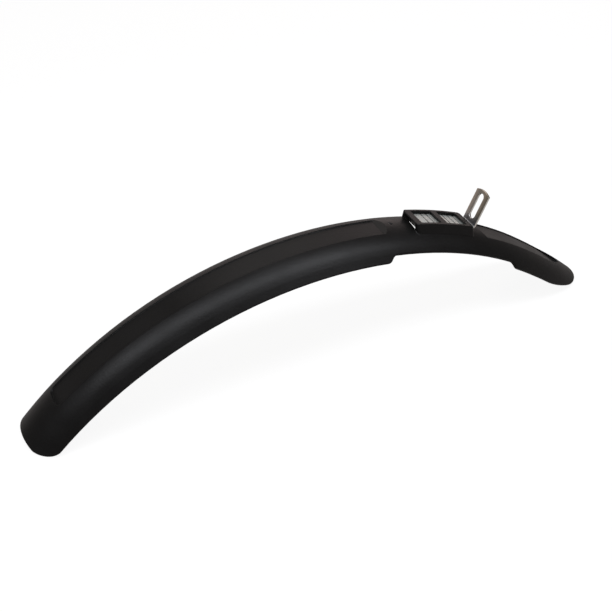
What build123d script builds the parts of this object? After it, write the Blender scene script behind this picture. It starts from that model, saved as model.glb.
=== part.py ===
from build123d import *

import os
from math import asin, cos, degrees, radians, sin, sqrt, tan

# A bicycle mudguard: a moulded blade with a holder on its crown, and the ribbed steel
# bracket that slides in the holder and bolts to the bicycle.
# Lengths are in millimetres and angles in degrees. Both pieces are drawn about the
# arc's axis, which is the Y axis, with the datum at the top of the arc. Places along
# the blade are lengths along its crown from the datum, positive towards the nose.
# At the end both pieces are stood on the floor, as the mudguard stands by itself.

# Blade: arc, section and ends
crown_radius = 355.0
tail_reach = 411.4
front_reach = 90.0
nose_radius = 650.0
nose_reach = 83.0
blade_width = 65.0
section_radius = 39.0
skirt_slope = 44.5
wall = 2.2
tail_corner = 17.4
nose_inset = 0.8
nose_tip_inset = 3.7
nose_taper = 56.0
rim_break = 0.6

# Waist: the skirts are narrower where the fork or the stays pass
waist_inset = 4.2
waist_back = 69.0
waist_front = 68.8
waist_step = 5.0
waist_round = 6.0

# Recessed panels on the crown, with a flat stiffening pad inside
panel_floor = 2.0
panel_ramp = 6.0
tail_panel_width = 21.6
tail_panel_depth = 2.4
tail_panel_end = 372.0
tail_panel_foot = 69.5
tail_panel_corner = 4.5
nose_panel_width = 24.6
nose_panel_depth = 2.8
nose_panel_foot = 40.5
nose_panel_straight = 126.0
nose_panel_tip = 152.0
pad_margin = 6.0

# Holder: its ends, windows and floor openings follow the direction the mould opens in
draw_lean = 20.0
holder_middle = 11.3
holder_length = 57.2
holder_width = 25.0
holder_height = 5.4
holder_draft = 15.0
holder_corner = 2.5
holder_round = 0.6
holder_foot_round = 0.6
window_length = 19.5
window_bar = 5.8
window_corner = 0.8
mouth_break = 0.9

# Bracket: a ribbed strip in the holder and a slotted tab
sheet = 2.0
strip_width = 17.4
strip_lift = 0.7
strip_play = 0.4
strip_side_play = 0.8
strip_setback = 5.5
groove_first = 10.9
groove_pitch = 5.65
groove_width = 1.3
groove_depth = 0.55
bend_radius = 2.0
tab_gap = 3.2
tab_height = 34.2
tab_top_radius = 20.0
slot_width = 7.0
slot_low = 7.8
slot_length = 23.4
edge_break = 0.25

# Direction mark engraved between the tail panel and the holder
mark_place = 57.2
mark_length = 2.8
mark_width = 5.5
mark_depth = 0.6

# How far trimming tools reach, run past a face, cross the skirts and run past a tangent to cut cleanly
tool_reach = 60.0
tool_margin = 3.0
crossing = 0.25
overrun = 0.05

# How finely the standing angle is found, and the steepest angle tried
stance_samples = 20
stance_precision = 0.001
steepest_stance = 45.0


def radial(angle):
    """Unit vector from the arc's axis outwards."""
    return Vector(sin(radians(angle)), 0, cos(radians(angle)))


def tangent(angle):
    """Unit vector along the crown, towards the nose."""
    return Vector(cos(radians(angle)), 0, -sin(radians(angle)))


def turn(length):
    """Angle of the main arc for a length along its crown."""
    return degrees(length / crown_radius)


def crown_drop(half):
    """How far the skin lies below the crown at a distance from the middle plane."""
    if half < arc_half:
        return section_radius - sqrt(section_radius**2 - half**2)
    return arc_drop + (half - arc_half) * tan(radians(skirt_slope))


def on_skin(point):
    """Whether a point lies on the main arc's outer skin."""
    return abs(crown_radius - sqrt(point.X**2 + point.Z**2) - crown_drop(abs(point.Y))) < overrun


def on_roof(point):
    """Whether a point lies on the underside of the holder's roof."""
    return abs(sqrt(point.X**2 + point.Z**2) - crown_radius - strip_lift - tunnel_height) < overrun


half_width = blade_width / 2
waist_half = half_width - waist_inset
nose_half = half_width - nose_inset
nose_tip_radius = nose_half - nose_tip_inset
arc_half = section_radius * sin(radians(skirt_slope))
arc_drop = section_radius * (1 - cos(radians(skirt_slope)))
skirt_drop = crown_drop(half_width)
waist_drop = crown_drop(waist_half)
nose_drop = crown_drop(nose_half)
pad_depth = nose_panel_depth + panel_floor

tail_angle = -turn(tail_reach)
flat_angle = turn(front_reach)
tip_angle = flat_angle + degrees(nose_reach / nose_radius)
arc_axis = Axis((0, 0, 0), (0, 1, 0))
nose_center = (crown_radius - nose_radius) * radial(flat_angle)
nose_axis = Axis(nose_center, (0, 1, 0))


def crown(place, height=0.0):
    """Point of the middle plane over the crown, on the main arc or on the flatter nose."""
    if place <= front_reach:
        return (crown_radius + height) * radial(turn(place))
    angle = flat_angle + degrees((place - front_reach) / nose_radius)
    return nose_center + (nose_radius + height) * radial(angle)


def in_side(point):
    """A point's place in the side view."""
    return (point.X, point.Z)


def side(place, height=0.0):
    """Place over the crown in the side view."""
    return in_side(crown(place, height))


def section_plane(origin, angle):
    """Plane across the blade: local X runs across, local Y outwards from the crown."""
    return Plane(origin=origin, x_dir=(0, 1, 0), z_dir=tangent(angle))


def plan_plane(origin, angle):
    """Plane that touches the crown: local X runs towards the nose, local Y across."""
    return Plane(origin=origin, x_dir=tangent(angle), z_dir=radial(angle))


def block_section(plane):
    """The blade's section as a filled block."""
    with BuildSketch(plane) as section:
        with BuildLine():
            arc = CenterArc((0, -section_radius), section_radius, 90 - skirt_slope, 2 * skirt_slope)
            Polyline(arc @ 0, (half_width, -skirt_drop), (-half_width, -skirt_drop), arc @ 1)
        make_face()
    return section.sketch


def pad_section(plane):
    """Flat pad that thickens the crown from inside, sunk half way into the wall."""
    with BuildSketch(plane) as section:
        with Locations((0, -section_radius)):
            Circle(section_radius - wall / 2)
        with Locations((0, -pad_depth)):
            Rectangle(blade_width, section_radius, align=(Align.CENTER, Align.MIN), mode=Mode.INTERSECT)
    return section.sketch


def band_section(plane, low, high, width):
    """Rectangle across the blade between two heights over the crown."""
    with BuildSketch(plane) as section:
        with Locations((0, low)):
            Rectangle(width, high - low, align=(Align.CENTER, Align.MIN))
    return section.sketch


# Trimming tools for the blade's outline
tail_plane = plan_plane(crown(-tail_reach), tail_angle)
tip_plane = plan_plane(crown(front_reach + nose_reach), tip_angle)
trim_half = half_width + crossing
nose_trim = nose_half + crossing
tool_half = half_width + tail_corner

with BuildPart() as tail_corners:
    with BuildSketch(tail_plane):
        with BuildLine():
            corner = CenterArc((tail_corner - crossing, trim_half - tail_corner), tail_corner, 90, 90)
            Polyline(
                corner @ 0,
                (tail_corner - crossing, tool_half),
                (-tail_corner, tool_half),
                (-tail_corner, trim_half - tail_corner),
                corner @ 1,
            )
        make_face()
        mirror(about=Plane.XZ)
    extrude(amount=tool_reach, both=True)

# The nose's plan is a tip arc with long side arcs that touch it and the skirts
tip_offset = nose_trim - nose_tip_radius
tip_setback = nose_taper - nose_tip_radius
arc_spacing = (tip_setback**2 + tip_offset**2) / (2 * tip_offset)
touch = Vector(tip_setback, arc_spacing - tip_offset) * (nose_tip_radius / arc_spacing)

with BuildPart() as nose_outline:
    with BuildSketch(tip_plane):
        with BuildLine():
            flank_end = (touch.X - nose_tip_radius, touch.Y)
            flank = TangentArc((-nose_taper, nose_trim), flank_end, tangent=(1, 0))
            tip = TangentArc(flank @ 1, (0, 0), tangent=flank % 1)
            Polyline(
                tip @ 1,
                (nose_tip_radius, 0),
                (nose_tip_radius, tool_half),
                (-nose_taper, tool_half),
                flank @ 0,
            )
        make_face()
        mirror(about=Plane.XZ)
    extrude(amount=tool_reach, both=True)

# The waist's outline in the side view: two rounded steps in the skirts, which are lower at the nose
skirt_edge = -(skirt_drop + overrun)
waist_edge = -waist_drop
nose_edge = -nose_drop
step_run = waist_step + 2 * waist_round
nose_end = front_reach + nose_reach + tool_margin
with BuildPart() as waist:
    with BuildSketch(Plane.XZ) as waist_outline:
        with BuildLine():
            back_edge = ThreePointArc(
                side(-waist_back - step_run, skirt_edge),
                side(-waist_back - step_run / 2, skirt_edge),
                side(-waist_back - waist_step / 2, skirt_edge),
            )
            waist_arc = ThreePointArc(
                side(-waist_back + waist_step / 2, waist_edge),
                side(0, waist_edge),
                side(waist_front - waist_step / 2, waist_edge),
            )
            front_edge = ThreePointArc(
                side(waist_front + waist_step / 2, nose_edge),
                side((waist_front + front_reach) / 2, nose_edge),
                side(front_reach, nose_edge),
            )
            nose_arc = ThreePointArc(
                front_edge @ 1,
                side((front_reach + nose_end) / 2, nose_edge),
                side(nose_end, nose_edge),
            )
            Line(back_edge @ 1, waist_arc @ 0)
            Line(waist_arc @ 1, front_edge @ 0)
            Polyline(
                nose_arc @ 1,
                side(nose_end, -tool_reach),
                side(-waist_back - step_run, -tool_reach),
                back_edge @ 0,
            )
        make_face()
        steps = [back_edge @ 1, waist_arc @ 0, waist_arc @ 1, front_edge @ 0]
        fillet([waist_outline.vertices().sort_by_distance(step)[0] for step in steps], waist_round)
    extrude(amount=tool_half, both=True)

# The blade's skin, taken from the trimmed block
tip_spare = degrees(tool_margin / nose_radius)
with BuildPart() as block:
    revolve(block_section(section_plane(crown(-tail_reach), tail_angle)), arc_axis, flat_angle - tail_angle)
    nose_turn = tip_angle + tip_spare - flat_angle
    revolve(block_section(section_plane(crown(front_reach), flat_angle)), nose_axis, nose_turn)
    add([tail_corners.part, nose_outline.part, waist.part], mode=Mode.SUBTRACT)
skin = block.faces().filter_by(GeomType.TORUS) + block.faces().filter_by(GeomType.CONE)

# Recess cutters, drawn in the side view
clear_height = 3 * holder_height
tail_panel_middle = -(tail_panel_end + tail_panel_foot) / 2
with BuildPart() as tail_recess:
    with BuildSketch(Plane.XZ):
        with BuildLine():
            floor = ThreePointArc(
                side(-tail_panel_end, -tail_panel_depth),
                side(tail_panel_middle, -tail_panel_depth),
                side(-tail_panel_foot, -tail_panel_depth),
            )
            ramp = Line(floor @ 1, side(2 * panel_ramp - tail_panel_foot, tail_panel_depth))
            outside = ThreePointArc(
                ramp @ 1,
                side(tail_panel_middle, clear_height),
                side(-tail_panel_end, clear_height),
            )
            Line(outside @ 1, floor @ 0)
        make_face()
    extrude(amount=tail_panel_width / 2, both=True)
    end_wall = tail_recess.faces().filter_by(GeomType.PLANE).sort_by(Axis.X)[0]
    fillet(end_wall.edges().filter_by(Axis.Y, reverse=True), tail_panel_corner)

# The nose panel's sides curve in to a point
panel_point = nose_panel_tip - nose_panel_straight
taper_angle = flat_angle + degrees((nose_panel_straight - front_reach) / nose_radius)
taper_plane = plan_plane(crown(nose_panel_straight), taper_angle)
with BuildPart() as nose_recess:
    with BuildSketch(Plane.XZ):
        with BuildLine():
            floor = ThreePointArc(
                side(nose_panel_foot, -nose_panel_depth),
                side((nose_panel_foot + front_reach) / 2, -nose_panel_depth),
                side(front_reach, -nose_panel_depth),
            )
            flat_floor = ThreePointArc(
                floor @ 1,
                side((front_reach + nose_panel_tip) / 2, -nose_panel_depth),
                side(nose_panel_tip, -nose_panel_depth),
            )
            Polyline(
                flat_floor @ 1,
                side(nose_panel_tip, clear_height),
                side(nose_panel_foot, clear_height),
                side(nose_panel_foot - 2 * panel_ramp, nose_panel_depth),
                floor @ 0,
            )
        make_face()
    extrude(amount=nose_panel_width / 2, both=True)
    with BuildSketch(taper_plane):
        with BuildLine():
            point = TangentArc((0, nose_panel_width / 2), (panel_point, 0), tangent=(1, 0))
            Polyline(
                point @ 1,
                (-nose_panel_straight, 0),
                (-nose_panel_straight, nose_panel_width / 2),
                point @ 0,
            )
        make_face()
        mirror(about=Plane.XZ)
    extrude(amount=tool_reach, both=True, mode=Mode.INTERSECT)

# Cutters that follow the mould's draw: windows in the holder's roof, openings under its bars
draw_plane = Plane(origin=(0, 0, 0), x_dir=tangent(-draw_lean), z_dir=radial(-draw_lean))
holder_top = crown_radius + holder_height
holder_place = holder_top * sin(radians(draw_lean - turn(holder_middle)))
tunnel_height = sheet + 2 * strip_play
tunnel_width = strip_width + 2 * strip_side_play
holder_back = asin((holder_place - holder_length / 2) / holder_top)
holder_front = asin((holder_place + holder_length / 2) / holder_top)
back_angle = degrees(holder_back) - draw_lean
front_angle = degrees(holder_front) - draw_lean
band_start = back_angle - turn(clear_height)
band_turn = front_angle + turn(clear_height) - band_start
band_plane = section_plane(crown_radius * radial(band_start), band_start)
end_bar = (holder_length - 2 * window_length - window_bar) / 2
window_pitch = window_length + window_bar
mid_tunnel = strip_lift + tunnel_height / 2

with BuildPart() as windows:
    with BuildSketch(draw_plane):
        with Locations((holder_place, 0)):
            with GridLocations(window_pitch, 0, 2, 1):
                RectangleRounded(window_length, tunnel_width, window_corner)
    extrude(amount=2 * crown_radius)
    roof_band = band_section(band_plane, mid_tunnel, 2 * holder_height, blade_width)
    revolve(roof_band, arc_axis, band_turn, mode=Mode.INTERSECT)

with BuildPart() as floor_openings:
    with BuildSketch(draw_plane):
        with Locations((holder_place, 0)):
            Rectangle(window_bar, tunnel_width)
            with GridLocations(holder_length - end_bar, 0, 2, 1):
                Rectangle(end_bar, tunnel_width)
    extrude(amount=2 * crown_radius)
    floor_band = band_section(band_plane, -2 * pad_depth, mid_tunnel, blade_width)
    revolve(floor_band, arc_axis, band_turn, mode=Mode.INTERSECT)

# Holder block: a band with drafted sides, cut to length along the draw
holder_sink = crown_drop(holder_width / 2) + wall / 2
flare = (holder_height + holder_sink) * tan(radians(holder_draft))
with BuildPart() as holder:
    with BuildSketch(band_plane) as holder_section:
        with BuildLine():
            Polyline(
                (holder_width / 2, holder_height),
                (-holder_width / 2, holder_height),
                (-holder_width / 2 - flare, -holder_sink),
                (holder_width / 2 + flare, -holder_sink),
                close=True,
            )
        make_face()
    revolve(axis=arc_axis, revolution_arc=band_turn)
    with BuildSketch(draw_plane):
        with Locations((holder_place, 0)):
            Rectangle(holder_length, blade_width)
    extrude(amount=2 * crown_radius, mode=Mode.INTERSECT)
    upright = [edge for edge in holder.edges() if edge.geom_type not in (GeomType.LINE, GeomType.CIRCLE)]
    fillet(upright, holder_corner)

# The blade: the skin thickened inwards, then the pad, the holder and the cuts
pad_start = -turn(tail_panel_end + pad_margin)
pad_end = flat_angle + degrees((nose_panel_tip + pad_margin - front_reach) / nose_radius)
mark_plane = plan_plane(crown(-mark_place, -mark_depth), -turn(mark_place))
with BuildPart() as blade:
    thicken(skin, amount=-wall)
    caps = [face for face in blade.faces() if face.geom_type not in (GeomType.TORUS, GeomType.CONE)]
    rim = [edge for face in caps for edge in face.edges() if abs(edge.length - wall) > overrun]
    outer_rim = [edge for edge in rim if min(face.distance_to(edge @ 0.5) for face in skin) < overrun]
    chamfer(outer_rim, rim_break)
    pad_plane = section_plane(crown_radius * radial(pad_start), pad_start)
    revolve(pad_section(pad_plane), arc_axis, flat_angle - pad_start)
    revolve(pad_section(section_plane(crown(front_reach), flat_angle)), nose_axis, pad_end - flat_angle)
    with BuildSketch(mark_plane):
        with BuildLine():
            Polyline(
                (-mark_length / 2, -mark_width / 2),
                (mark_length / 2, 0),
                (-mark_length / 2, mark_width / 2),
                close=True,
            )
        make_face()
    extrude(amount=holder_height, mode=Mode.SUBTRACT)
    add(holder.part)
    foot_edges = [edge for edge in blade.edges(Select.LAST) if on_skin(edge @ 0.5)]
    fillet(foot_edges, holder_foot_round)
    top = blade.faces().filter_by(GeomType.CYLINDER).sort_by(lambda face: face.center().length)[-1]
    fillet(top.edges(), holder_round)
    tunnel_band = band_section(band_plane, strip_lift, strip_lift + tunnel_height, tunnel_width)
    revolve(tunnel_band, arc_axis, band_turn, mode=Mode.SUBTRACT)
    roof_edges = [edge for edge in blade.edges(Select.LAST) if on_roof(edge @ 0.5)]
    chamfer(ShapeList(roof_edges).filter_by(Axis.Y), mouth_break)
    add([windows.part, floor_openings.part], mode=Mode.SUBTRACT)
    add([tail_recess.part, nose_recess.part], mode=Mode.SUBTRACT)

# Bracket, drawn in the side view and then cut across
strip_low = crown_radius + strip_lift + strip_play
strip_high = strip_low + sheet
strip_back = back_angle + turn(strip_setback)
tab_angle = front_angle + turn(tab_gap)
tab_plane = section_plane(crown_radius * radial(tab_angle), tab_angle)
tab_top = (crown_radius + tab_height) * radial(tab_angle)
tab_back = sheet * tangent(tab_angle)
heel = sqrt(strip_low**2 - sheet**2) * radial(tab_angle) + tab_back
strip_mid = radial((strip_back + tab_angle) / 2)
groove_start = strip_back + turn(groove_first)
groove_count = int((tab_angle - turn(bend_radius + groove_width) - groove_start) / turn(groove_pitch)) + 1

with BuildPart() as bracket:
    with BuildSketch(Plane.XZ) as profile:
        with BuildLine():
            under = ThreePointArc(
                in_side(strip_low * radial(strip_back)),
                in_side(strip_low * strip_mid),
                in_side(heel),
            )
            over = ThreePointArc(
                in_side(strip_high * radial(strip_back)),
                in_side(strip_high * strip_mid),
                in_side(strip_high * radial(tab_angle)),
            )
            Line(under @ 0, over @ 0)
            Polyline(under @ 1, in_side(tab_top + tab_back), in_side(tab_top), over @ 1)
        make_face()
        fillet(profile.vertices().sort_by_distance(under @ 1)[0], bend_radius + sheet)
        fillet(profile.vertices().sort_by_distance(over @ 1)[0], bend_radius)
        groove_turn = (groove_count - 1) * turn(groove_pitch)
        with PolarLocations(strip_high, groove_count, 90 - groove_start, -groove_turn, endpoint=True):
            Rectangle(2 * groove_depth, groove_width, mode=Mode.SUBTRACT)
    extrude(amount=strip_width / 2, both=True)
    with BuildSketch(tab_plane):
        with Locations((0, tab_height)):
            Rectangle(2 * strip_width, tab_top_radius)
        with Locations((0, tab_height - tab_top_radius)):
            Circle(tab_top_radius, mode=Mode.SUBTRACT)
        with Locations((0, slot_low + slot_length / 2)):
            SlotOverall(slot_length, slot_width, rotation=90)
    extrude(amount=2 * sheet, both=True, mode=Mode.SUBTRACT)
    tab_edges = [edge for edge in bracket.edges() if (edge @ 0.5).length > crown_radius + holder_height]
    chamfer(tab_edges, edge_break)

# Stance: turned until the tail and the nose both reach the floor
samples = [step / stance_samples for step in range(stance_samples + 1)]
outline = [edge @ share for edge in blade.edges() for share in samples]
tail_points = [point for point in outline if point.X < 0]
nose_points = [point for point in outline if point.X > 0]


def tail_over_nose(lean):
    """How much higher the tail's lowest point is than the nose's, for a lean."""
    up = radial(-lean)
    return min(point.dot(up) for point in tail_points) - min(point.dot(up) for point in nose_points)


low_lean = 0.0
high_lean = steepest_stance
while high_lean - low_lean > stance_precision:
    stand_lean = (low_lean + high_lean) / 2
    if tail_over_nose(stand_lean) < 0:
        low_lean = stand_lean
    else:
        high_lean = stand_lean

upright_plane = Plane(origin=(0, 0, 0), x_dir=tangent(-stand_lean), z_dir=radial(-stand_lean))
box = Compound([blade.part, bracket.part]).moved(upright_plane.location.inverse()).bounding_box()
stance = Location((-box.center().X, 0, -box.min.Z)) * upright_plane.location.inverse()

with BuildPart() as mudguard_blade:
    add(blade.part.moved(stance))

with BuildPart() as steel_bracket:
    add(bracket.part.moved(stance))

mudguard_blade.part.label = "mudguard_blade"
steel_bracket.part.label = "steel_bracket"
os.makedirs("parts", exist_ok=True)
export_step(mudguard_blade.part, "parts/mudguard_blade.step")
export_step(steel_bracket.part, "parts/steel_bracket.step")


def standing(point):
    """A point's place after the mudguard is stood on the floor."""
    return (stance * Location(point)).position


tab_face = crown_radius + slot_low + slot_length / 2
print("stand lean", stand_lean)
print("arc axis at", standing(Vector(0, 0, 0)))
print("slot middle on the tab's front", standing(tab_face * radial(tab_angle)))
print("tab's front faces", standing(Vector(0, 0, 0) - tangent(tab_angle)) - standing(Vector(0, 0, 0)))
print("box", mudguard_blade.part.bounding_box(), steel_bracket.part.bounding_box())
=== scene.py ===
# %% [markdown]
# A bicycle mudguard in black plastic, with a zinc-plated steel bracket in its holder.
# The solids come ready made and at their real size, so this lesson is about looks: the camera, the
# studio, the moulded plastic and the plated steel. Every length is in metres, because that is what
# the solids use, and small sizes are written as a number of millimetres times MM.

# %% Load the solids
import math

import bpy
from mathutils import Matrix, Vector

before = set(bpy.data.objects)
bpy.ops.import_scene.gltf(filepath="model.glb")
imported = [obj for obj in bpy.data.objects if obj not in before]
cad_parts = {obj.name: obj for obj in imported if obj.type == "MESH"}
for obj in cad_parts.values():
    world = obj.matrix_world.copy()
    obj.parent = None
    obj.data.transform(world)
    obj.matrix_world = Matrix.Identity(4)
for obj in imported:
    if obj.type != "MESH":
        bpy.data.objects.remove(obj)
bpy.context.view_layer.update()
MM = 0.001
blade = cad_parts["mudguard_blade"]
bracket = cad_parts["steel_bracket"]
scene = bpy.context.scene

# %% [markdown]
# The camera stands where the photographer stood: to the front left of the mudguard and well above
# it. A camera could be turned with a Track To constraint, but then its small tilt is hard to add.
# Here its three axes are worked out from the azimuth, the elevation and the roll, and put straight
# into its matrix.

# %% Place the camera
VIEW_AZIMUTH = math.radians(-24.914)
VIEW_ELEVATION = math.radians(38.320)
VIEW_ROLL = math.radians(-0.336)
VIEW_DISTANCE = 834.5 * MM
VIEW_AIM = Vector((-15.92 * MM, 0.0, 49.45 * MM))
IMAGE_PIXELS = 612
FOCAL_PIXELS = 1000
SENSOR_WIDTH = 36.0  # in millimetres, as Blender wants it


def view_axes(azimuth, elevation, roll):
    """Right, up and backward directions of a camera that looks at the aim."""
    back = Vector((math.sin(azimuth), -math.cos(azimuth), 0)) * math.cos(elevation)
    back.z = math.sin(elevation)
    level = Vector((0, 0, 1)).cross(back).normalized()
    right = Matrix.Rotation(roll, 3, back) @ level
    return right, back.cross(right), back


def add_camera():
    """The scene's camera, with the photograph's field of view."""
    data = bpy.data.cameras.new("view_camera")
    data.sensor_width = SENSOR_WIDTH
    data.lens = SENSOR_WIDTH * FOCAL_PIXELS / IMAGE_PIXELS
    camera = bpy.data.objects.new("view_camera", data)
    scene.collection.objects.link(camera)
    right, up, back = view_axes(VIEW_AZIMUTH, VIEW_ELEVATION, VIEW_ROLL)
    turned = Matrix((right, up, back)).transposed().to_4x4()
    camera.matrix_world = Matrix.Translation(VIEW_AIM + back * VIEW_DISTANCE) @ turned
    scene.camera = camera
    return camera


camera = add_camera()
print("camera at", [round(value, 3) for value in camera.location], "lens", round(camera.data.lens, 2))

# %% [markdown]
# A finish in Blender is a tree of shader nodes. Such a tree is often drawn by hand in the shader
# editor. Here it is written down, so that it can be read from top to bottom, and a few helpers keep
# the trees short.

# %% Write shader nodes
def new_material(name):
    """An empty node material and its output node."""
    material = bpy.data.materials.new(name)
    material.use_nodes = True
    material.node_tree.nodes.clear()
    return material, material.node_tree.nodes.new("ShaderNodeOutputMaterial")


def add_node(tree, kind, values=(), links=()):
    """A shader node with some of its sockets set to a value or linked to another node's socket."""
    node = tree.nodes.new(kind)
    for socket, value in dict(values).items():
        node.inputs[socket].default_value = value
    for socket, source in dict(links).items():
        tree.links.new(source, node.inputs[socket])
    return node


def add_math(tree, operation, first, second=0.0):
    """A Math node's result, from numbers or sockets."""
    node = tree.nodes.new("ShaderNodeMath")
    node.operation = operation
    for socket, source in zip(node.inputs, (first, second)):
        if isinstance(source, (int, float)):
            socket.default_value = source
        else:
            tree.links.new(source, socket)
    return node.outputs[0]


def mix_colours(tree, share, first, second):
    """A colour between two, by a share from 0 to 1."""
    mix = tree.nodes.new("ShaderNodeMix")
    mix.data_type = "RGBA"
    sockets = {socket.identifier: socket for socket in mix.inputs}
    tree.links.new(share, sockets["Factor_Float"])
    for socket, colour in ((sockets["A_Color"], first), (sockets["B_Color"], second)):
        if isinstance(colour, tuple):
            socket.default_value = colour
        else:
            tree.links.new(colour, socket)
    return next(socket for socket in mix.outputs if socket.identifier == "Result_Color")


def mix_shaders(tree, share, first, second):
    """A shader between two, by a share from 0 to 1."""
    sources = {0: share, 1: first.outputs[0], 2: second.outputs[0]}
    return add_node(tree, "ShaderNodeMixShader", links=sources)


helpers = (new_material, add_node, add_math, mix_colours, mix_shaders)
print("helpers:", [helper.__name__ for helper in helpers])

# %% [markdown]
# The photograph's background is plain white. A floor that is lit until it is white would also flood
# the black plastic with light. So the studio glows by itself, but only for rays that come from the
# camera, and less and warmer for rays that come from a shiny surface, because the plastic in the
# photograph mirrors a darker, warmer room. The Light Path node tells these rays apart.

# %% Tell the rays apart
WHITE = (1.0, 1.0, 1.0, 1.0)
MIRRORED_COLOUR = (1.0, 0.91, 0.87, 1.0)


def studio_rays(tree, seen_glow, mirrored_glow):
    """1 for rays from the camera or a shiny surface, and the colour and strength they see."""
    path = tree.nodes.new("ShaderNodeLightPath").outputs
    shiny = add_math(tree, "MAXIMUM", path["Is Glossy Ray"], path["Is Transmission Ray"])
    seen = add_math(tree, "MAXIMUM", path["Is Camera Ray"], shiny)
    direct = add_math(tree, "MULTIPLY", path["Is Camera Ray"], seen_glow)
    mirrored = add_math(tree, "MULTIPLY", shiny, mirrored_glow)
    colour = mix_colours(tree, shiny, WHITE, MIRRORED_COLOUR)
    return seen, {"Color": colour, "Strength": add_math(tree, "MAXIMUM", direct, mirrored)}


print("the camera sees", WHITE[:3], "and shiny surfaces see", MIRRORED_COLOUR[:3])

# %% [markdown]
# The mudguard stands on a wide pale floor, on its tail and its nose. A curved backdrop would do as
# well, but from this height the camera sees only floor. Under the glow a thin coat of plain paint
# still takes the lamps' light, and so the floor keeps a soft shadow. From below it is clear, so that
# a camera down there sees the mudguard's hollow side.

# %% Lay the floor
FLOOR_HALF = 4.0
FLOOR_COLOUR = (0.8, 0.8, 0.8, 1.0)
SEEN_COLOUR = (0.12, 0.12, 0.12, 1.0)
FLOOR_SEEN = 0.92
FLOOR_MIRRORED = 0.30


def floor_finish():
    """Pale floor that glows for the camera and, more faintly, in reflections."""
    material, output = new_material("studio_floor")
    tree = material.node_tree
    seen, glowing = studio_rays(tree, FLOOR_SEEN, FLOOR_MIRRORED)
    paint = add_node(tree, "ShaderNodeBsdfDiffuse", {"Color": FLOOR_COLOUR})
    shade = add_node(tree, "ShaderNodeBsdfDiffuse", {"Color": SEEN_COLOUR})
    glow = add_node(tree, "ShaderNodeEmission", links=glowing)
    lit = add_node(tree, "ShaderNodeAddShader", links={0: shade.outputs[0], 1: glow.outputs[0]})
    top = mix_shaders(tree, seen, paint, lit)
    below = tree.nodes.new("ShaderNodeNewGeometry").outputs["Backfacing"]
    clear = tree.nodes.new("ShaderNodeBsdfTransparent")
    tree.links.new(mix_shaders(tree, below, top, clear).outputs[0], output.inputs["Surface"])
    return material


def add_floor():
    """The floor that the tail and the nose stand on."""
    corners = [(-FLOOR_HALF, -FLOOR_HALF, 0), (FLOOR_HALF, -FLOOR_HALF, 0)]
    corners += [(FLOOR_HALF, FLOOR_HALF, 0), (-FLOOR_HALF, FLOOR_HALF, 0)]
    mesh = bpy.data.meshes.new("studio_floor")
    mesh.from_pydata(corners, [], [(0, 1, 2, 3)])
    mesh.materials.append(floor_finish())
    floor = bpy.data.objects.new("studio_floor", mesh)
    scene.collection.objects.link(floor)
    return floor


floor = add_floor()
print("floor", floor.dimensions[:2])

# %% [markdown]
# A dim world lights the mudguard evenly from all sides, as the walls of a room do. A picture of a
# room would do that too, but the plastic would then show that room. The camera sees this world as
# white, and shiny surfaces mirror it as a warm grey.

# %% Set the world
WORLD_COLOUR = (1.0, 0.94, 0.90, 1.0)
WORLD_STRENGTH = 0.165
WORLD_SEEN = 0.96
WORLD_MIRRORED = 0.17


def set_world():
    """A dim, even light all round, which the camera sees as white and shiny surfaces as grey."""
    world = bpy.data.worlds.new("studio_world")
    world.use_nodes = True
    tree = world.node_tree
    light = tree.nodes["Background"]
    light.inputs["Color"].default_value = WORLD_COLOUR
    light.inputs["Strength"].default_value = WORLD_STRENGTH
    seen, glowing = studio_rays(tree, WORLD_SEEN, WORLD_MIRRORED)
    backdrop = add_node(tree, "ShaderNodeBackground", links=glowing)
    surface = mix_shaders(tree, seen, light, backdrop)
    tree.links.new(surface.outputs[0], tree.nodes["World Output"].inputs["Surface"])
    scene.world = world
    return world


print("world:", set_world().name)

# %% [markdown]
# Black plastic shows its shape by what it mirrors, so the lamps are soft boxes and not points. A row
# of five hangs overhead, a little in front of the mudguard, and together they draw the one long band
# of light along its near side. One long lamp would do that too, but with five each part of the band
# gets its own strength.

# %% Hang a row of soft boxes
ROW_START = Vector((-1.15, -0.22, 1.20))
ROW_END = Vector((0.85, -0.38, 1.20))
ROW_BOX = (0.48, 0.36)
ROW_WATTS = (5.3, 3.0, 2.8, 5.0, 1.8)
COOL_LIGHT = (0.93, 0.95, 1.0)


def add_soft_box(name, place, target, width, height, watts, colour):
    """A rectangular area lamp that faces a point."""
    data = bpy.data.lights.new(name, "AREA")
    data.shape = "RECTANGLE"
    data.size = width
    data.size_y = height
    data.energy = watts
    data.color = colour
    lamp = bpy.data.objects.new(name, data)
    lamp.location = place
    lamp.rotation_mode = "QUATERNION"
    lamp.rotation_quaternion = (target - place).to_track_quat("-Z", "Y")
    scene.collection.objects.link(lamp)
    return lamp


def add_row():
    """The row of soft boxes overhead, which all face straight down."""
    row = []
    for number, watts in enumerate(ROW_WATTS):
        place = ROW_START.lerp(ROW_END, number / (len(ROW_WATTS) - 1))
        below = Vector((place.x, place.y, 0))
        row.append(add_soft_box(f"row_box_{number + 1}", place, below, *ROW_BOX, watts, COOL_LIGHT))
    return row


print("row:", [lamp.name for lamp in add_row()])

# %% [markdown]
# Four more soft boxes stand behind the mudguard and face it: a warm one on the right, for the
# holder's roof and the crown, two for the panels, and a low one for the far rim. With the Standard
# view transform a colour comes out about as it is written.

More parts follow.
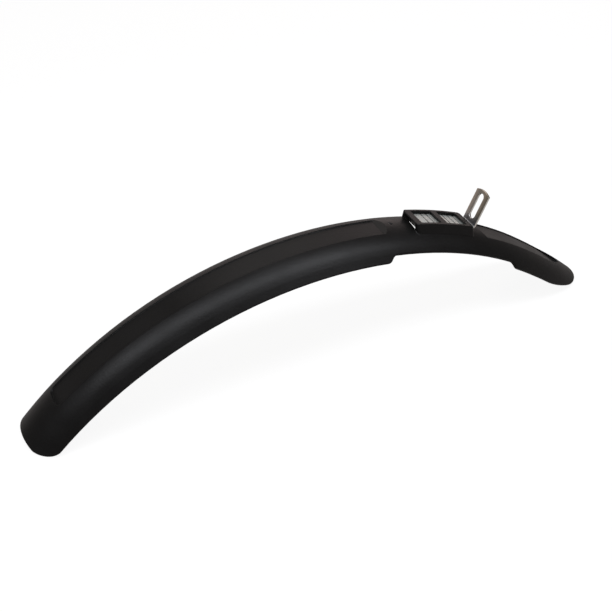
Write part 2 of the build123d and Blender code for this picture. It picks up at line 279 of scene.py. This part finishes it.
# %% Stand soft boxes behind
WARM_LIGHT = (1.0, 0.84, 0.82)
PALE_LIGHT = (1.0, 0.95, 0.92)
BACK_BOXES = {
    # name: (place, width, height, watts, colour)
    "back_right_box": (Vector((0.85, 0.95, 0.50)), 0.90, 0.60, 1.20, WARM_LIGHT),
    "back_low_box": (Vector((0.60, 1.60, 0.22)), 2.20, 0.30, 1.3, WARM_LIGHT),
    "back_middle_box": (Vector((0.10, 0.80, 1.10)), 0.80, 0.60, 2.1, PALE_LIGHT),
    "back_left_box": (Vector((-0.80, 1.00, 0.70)), 0.80, 0.60, 0.34, PALE_LIGHT),
}

for name, (place, *facts) in BACK_BOXES.items():
    add_soft_box(name, place, VIEW_AIM, *facts)
scene.view_settings.view_transform = "Standard"
print("behind:", list(BACK_BOXES))

# %% [markdown]
# The blade is moulded in black plastic, in a mould with a fine matte grain. A plain dark colour
# would look like rubber or like paint. The grain could be modelled, but that takes millions of
# faces, so a fine noise gives it as bump. A mould leaves no sharp edges either, and a Bevel node
# rounds them in the shading, while the solid stays as it is.

# %% Make grain and soft edges
NOISE_RANGE = (0.3, 0.7)  # where most of a noise's values lie
EDGE_SAMPLES = 16


def add_noise(tree, place, size, detail=2.0):
    """A noise whose spots are about as large as the size."""
    look = {"Scale": 1 / size, "Detail": detail}
    return add_node(tree, "ShaderNodeTexNoise", look, {"Vector": place}).outputs["Fac"]


def ramp(tree, value, start, end, low=0.0, high=1.0):
    """Low before the start, high after the end and even in between."""
    limits = {"From Min": start, "From Max": end, "To Min": low, "To Max": high}
    return add_node(tree, "ShaderNodeMapRange", limits, {"Value": value}).outputs["Result"]


def spread(tree, noise, low, high):
    """A noise's middle range stretched between two values."""
    return ramp(tree, noise, *NOISE_RANGE, low, high)


def soft_edges(tree, radius):
    """A normal that rounds the edges within a radius."""
    bevel = add_node(tree, "ShaderNodeBevel", {"Radius": radius})
    bevel.samples = EDGE_SAMPLES
    return bevel.outputs[0]


def add_bump(tree, height, depth, normal):
    """A normal with bumps of a real depth, from a height between 0 and 1."""
    sources = {"Height": height, "Normal": normal}
    bump = add_node(tree, "ShaderNodeBump", {"Strength": 1.0, "Distance": depth}, sources)
    return bump.outputs["Normal"]


print("soft edges take", EDGE_SAMPLES, "samples")

# %% [markdown]
# A broad noise varies the plastic's colour and gloss a little, as on any large thin moulding. Real
# plastic mirrors a little more than this one: its low index of refraction and its very dark colour
# were chosen so that it comes out as black as in the photograph.

# %% Dress the blade in moulded plastic
PLASTIC_DARK = (0.0038, 0.0037, 0.0037, 1.0)
PLASTIC_LIGHT = (0.0054, 0.0053, 0.0053, 1.0)
PLASTIC_IOR = 1.31
GRAIN_SIZE = 1.4 * MM
GRAIN_DEPTH = 0.08 * MM
SOFT_EDGE = 1.2 * MM
FLOW_SIZE = 30 * MM
GLOSS_RANGE = (0.36, 0.44)


def moulded_plastic():
    """Black plastic with a fine mould grain."""
    material, output = new_material("moulded_plastic")
    tree = material.node_tree
    place = tree.nodes.new("ShaderNodeTexCoord").outputs["Object"]
    flow = add_noise(tree, place, FLOW_SIZE)
    grain = add_noise(tree, place, GRAIN_SIZE)
    surface = add_node(tree, "ShaderNodeBsdfPrincipled", {"IOR": PLASTIC_IOR}, {
        "Base Color": mix_colours(tree, spread(tree, flow, 0, 1), PLASTIC_DARK, PLASTIC_LIGHT),
        "Roughness": spread(tree, flow, *GLOSS_RANGE),
        "Normal": add_bump(tree, grain, GRAIN_DEPTH, soft_edges(tree, SOFT_EDGE)),
    })
    tree.links.new(surface.outputs[0], output.inputs["Surface"])
    return material


def dress(node, material):
    """Gives a solid one material in all its slots."""
    node.data.materials.clear()
    node.data.materials.append(material)
    print(node.name, "is", material.name)


dress(blade, moulded_plastic())

# %% [markdown]
# The bracket is pressed from steel strip and plated with zinc. In the holder the zinc is a dull cool
# grey, and painted shade darkens the grooves between the ribs. The grooves could be marked by hand
# with vertex colours, but an Ambient Occlusion node finds them by itself: deep in a groove, less of
# the sky is open.

# %% Colour the strip
ZINC_COOL = (0.61, 0.67, 0.66, 1.0)
ZINC_GREY = (0.67, 0.67, 0.64, 1.0)
# painted shade for the grooves between the ribs
PAINTED_GROOVE_SHADE = (0.16, 0.16, 0.16, 1.0)
TINT_SIZE = 4 * MM
GROOVE_REACH = 1.0 * MM
OPEN_SKY = 0.95  # share of the sky that is open on a face
GROOVE_SKY = 0.45  # and deep in a groove


def painted_groove_shade_share(tree):
    """The share of painted shade: 0 on an open face, rising to 1 deep in a groove."""
    shelter = add_node(tree, "ShaderNodeAmbientOcclusion", {"Distance": GROOVE_REACH})
    shelter.only_local = True
    return ramp(tree, shelter.outputs["AO"], OPEN_SKY, GROOVE_SKY)


def strip_colour(tree, place):
    """Two greys in soft patches, and painted shade in the grooves."""
    tint = spread(tree, add_noise(tree, place, TINT_SIZE), 0, 1)
    zinc = mix_colours(tree, tint, ZINC_COOL, ZINC_GREY)
    return mix_colours(tree, painted_groove_shade_share(tree), zinc, PAINTED_GROOVE_SHADE)


print("grooves are dark where less than", OPEN_SKY, "of the sky is open")

# %% [markdown]
# The tab's plating dried to a straw and olive tint, in bands that run along it, and the bands also
# hold
# painted light: the far side is painted lighter and the near side darker. It is cooler at its foot,
# and there a painted highlight on the far side fades to painted shade on the near side. Color Ramp
# nodes hold the bands, and the place across the tab picks the colour. The sheared sides of the tab
# get a painted highlight, and the Y part of the normal tells them from the faces.

# %% Colour the tab
# straw and olive tint, with painted light: lighter on the far side, darker on the near side
TAB_TINT_AND_PAINTED_LIGHT = {
    # place across the tab, from its far side: colour
    0.00: (0.88, 0.77, 0.66, 1.0),
    0.26: (0.51, 0.48, 0.43, 1.0),
    0.74: (0.64, 0.56, 0.46, 1.0),
    1.00: (0.30, 0.28, 0.22, 1.0),
}
# painted light on the tab's foot: a highlight on the far side fading to shade on the near side
FOOT_PAINTED_LIGHT = {
    0.00: (0.82, 0.83, 0.86, 1.0),
    0.40: (0.66, 0.67, 0.71, 1.0),
    1.00: (0.42, 0.43, 0.47, 1.0),
}
# painted highlight on the sheared sides, picked by the direction of their normal
PAINTED_SIDE_HIGHLIGHT = (0.92, 0.90, 0.84, 1.0)
SIDE_HIGHLIGHT_NORMAL = (0.86, 0.96)
TAB_HALF = 8.7 * MM
TAB_FOOT = 139 * MM
TAB_RISE = 143 * MM


def axis_of(tree, vector, axis):
    """One part of a vector: X, Y or Z."""
    return add_node(tree, "ShaderNodeSeparateXYZ", links={0: vector}).outputs[axis]


def colour_bands(tree, share, bands):
    """Colours that change along a share from 0 to 1."""
    node = add_node(tree, "ShaderNodeValToRGB", links={"Fac": share})
    stops = node.color_ramp.elements
    while len(stops) < len(bands):
        stops.new(0.5)
    for stop, (place, colour) in zip(stops, sorted(bands.items())):
        stop.position = place
        stop.color = colour
    return node.outputs["Color"]


def tab_colour(tree, place, normal):
    """Cool foot and tinted bands, both with painted light, and a painted highlight on the sides."""
    across = ramp(tree, axis_of(tree, place, "Y"), TAB_HALF, -TAB_HALF)
    upward = ramp(tree, axis_of(tree, place, "X"), TAB_FOOT, TAB_RISE)
    foot = colour_bands(tree, across, FOOT_PAINTED_LIGHT)
    face = mix_colours(tree, upward, foot, colour_bands(tree, across, TAB_TINT_AND_PAINTED_LIGHT))
    sideways = add_math(tree, "ABSOLUTE", axis_of(tree, normal, "Y"))
    return mix_colours(tree, ramp(tree, sideways, *SIDE_HIGHLIGHT_NORMAL), face, PAINTED_SIDE_HIGHLIGHT)


print("bands on the tab:", len(TAB_TINT_AND_PAINTED_LIGHT), "and at its foot:", len(FOOT_PAINTED_LIGHT))

# %% [markdown]
# Plating is bright, but it follows the rolling marks of the steel, so its mirror image is drawn out
# and broken up. An anisotropic shader would draw the image out evenly. A noise that is stretched
# along the strip also breaks it up, so it is used for the bump and the gloss. The tab is glossier
# than the strip.

# %% Dress the bracket in zinc
BEND_START = 133 * MM
TAB_START = 138 * MM
ROLL_SIZE = 0.5 * MM
ROLL_STRETCH = 12
ROLL_DEPTH = 0.01 * MM
BEND_EDGE = 0.3 * MM
ZINC_GLOSS = (0.50, 0.62)
TAB_GLOSS = (0.30, 0.40)


def rolling_marks(tree, place):
    """A fine noise, drawn out along the strip and up the tab."""
    scale = (1 / ROLL_STRETCH, 1, 1 / ROLL_STRETCH)
    along = add_node(tree, "ShaderNodeMapping", {"Scale": scale}, {"Vector": place})
    return add_noise(tree, along.outputs[0], ROLL_SIZE)


def mix_values(tree, share, first, second):
    """A number between two, by a share from 0 to 1."""
    sources = {"Factor": share, "A": first, "B": second}
    return add_node(tree, "ShaderNodeMix", links=sources).outputs["Result"]


def zinc_steel():
    """Zinc plate over rolled steel strip."""
    material, output = new_material("dull_zinc_plate")
    tree = material.node_tree
    spots = tree.nodes.new("ShaderNodeTexCoord").outputs
    place = spots["Object"]
    marks = rolling_marks(tree, place)
    on_tab = ramp(tree, axis_of(tree, place, "X"), TAB_START, TAB_FOOT)
    past_holder = ramp(tree, axis_of(tree, place, "X"), BEND_START, TAB_START)
    dull, bright = spread(tree, marks, *ZINC_GLOSS), spread(tree, marks, *TAB_GLOSS)
    tab = tab_colour(tree, place, spots["Normal"])
    surface = add_node(tree, "ShaderNodeBsdfPrincipled", {"Metallic": 1.0}, {
        "Base Color": mix_colours(tree, on_tab, strip_colour(tree, place), tab),
        "Roughness": mix_values(tree, past_holder, dull, bright),
        "Normal": add_bump(tree, marks, ROLL_DEPTH, soft_edges(tree, BEND_EDGE)),
    })
    tree.links.new(surface.outputs[0], output.inputs["Surface"])
    return material


dress(bracket, zinc_steel())
